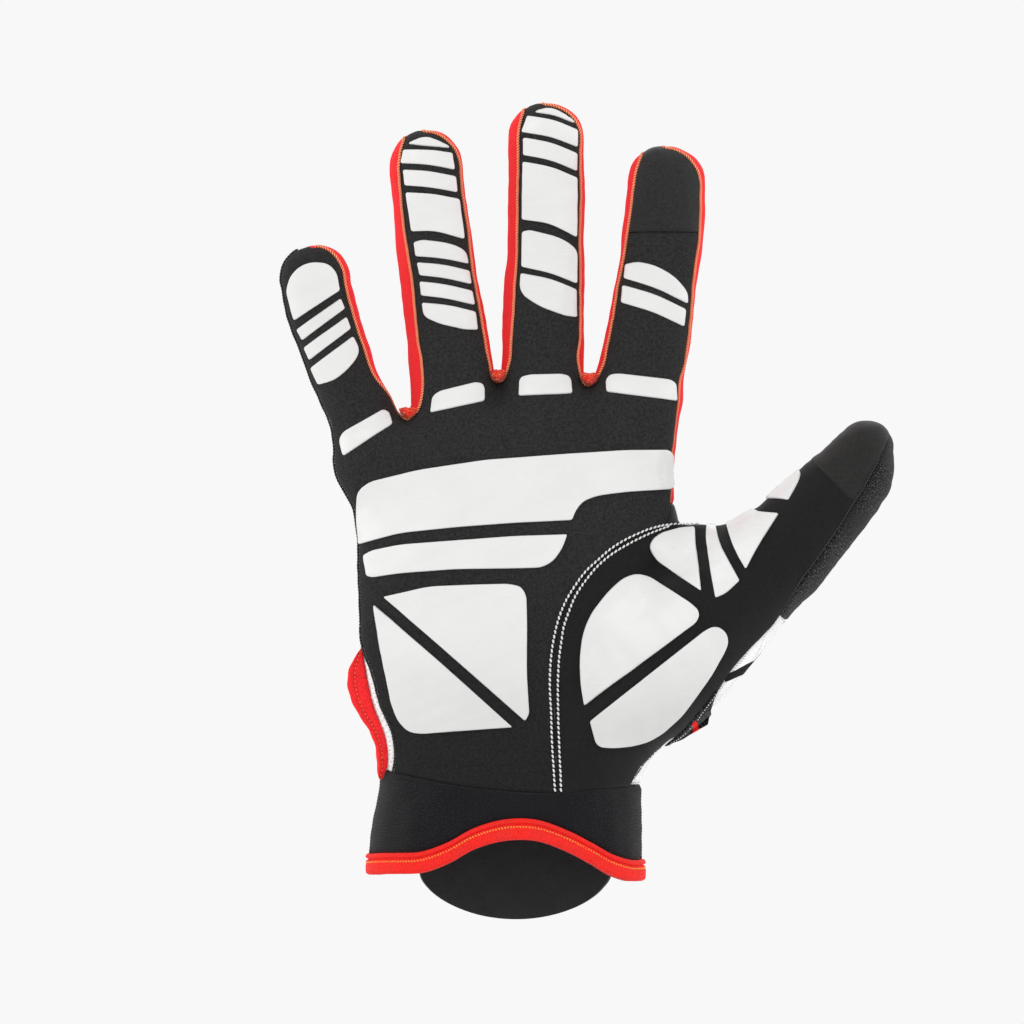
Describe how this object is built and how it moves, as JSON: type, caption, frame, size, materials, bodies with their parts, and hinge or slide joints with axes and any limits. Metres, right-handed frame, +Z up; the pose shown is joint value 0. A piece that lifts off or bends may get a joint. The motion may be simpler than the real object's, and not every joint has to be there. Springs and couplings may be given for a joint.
{
  "type": "sim racing glove",
  "caption": "Right-hand full-finger racing glove: black palm with raised silicone grip pads, red finger side walls, white mesh back, knit cuff and pull tab.",
  "frame": {"origin": "centre of the wrist opening", "axes": "+Z up the fingers, the palm faces -Y, the thumb leans to +X"},
  "size_m": [0.175, 0.0476, 0.2341],
  "materials": {
    "black_cloth": "matt fine woven cloth with a little stretch",
    "touch_cloth": "matt charcoal touch-screen cloth",
    "red_cloth": "matt stretch knit",
    "white_mesh": "open stretch mesh",
    "heather_cloth": "flecked charcoal knit",
    "knit": "close ribbed elastic knit",
    "red_tape": "folded stretch binding tape",
    "tab_cloth": "smooth matt cloth",
    "silicone": "glossy raised silicone print"
  },
  "bodies": {
    "root": {"palm_panel": "black_cloth", "index_touch_patch": "touch_cloth", "thumb_panel": "black_cloth", "thumb_touch_patch": "touch_cloth", "thumb_gusset": "heather_cloth", "fourchette_pinky_ring": "red_cloth", "fourchette_ring_middle": "red_cloth", "fourchette_middle_index": "red_cloth", "index_side_strip": "red_cloth", "web_gusset": "black_cloth", "back_panel": "white_mesh", "cuff_palm": "knit", "cuff_back": "knit", "cuff_binding": "red_tape", "pull_tab": "tab_cloth", "side_tab": "red_tape", "side_wedge": "heather_cloth", "pinky_pad_1": "silicone", "pinky_pad_2": "silicone", "pinky_pad_3": "silicone", "ring_pad_1": "silicone", "ring_pad_2": "silicone", "ring_pad_3": "silicone", "ring_pad_4": "silicone", "ring_pad_5": "silicone", "ring_pad_6": "silicone", "ring_pad_7": "silicone", "middle_pad_1": "silicone", "middle_pad_2": "silicone", "middle_pad_3": "silicone", "middle_pad_4": "silicone", "middle_pad_5": "silicone", "index_pad_1": "silicone", "index_pad_2": "silicone", "pinky_tip_pad": "silicone", "ring_tip_pad": "silicone", "middle_tip_pad": "silicone", "pinky_knuckle_pad": "silicone", "ring_knuckle_pad": "silicone", "middle_knuckle_pad": "silicone", "index_knuckle_pad": "silicone", "palm_band": "silicone", "palm_strip": "silicone", "heel_pad_upper": "silicone", "heel_pad_lower": "silicone", "thenar_pad_upper": "silicone", "thenar_pad_lower": "silicone", "thumb_pad_1": "silicone", "thumb_pad_2": "silicone", "thumb_pad_3": "silicone", "thumb_pad_4": "silicone"}
  },
  "joints": []
}
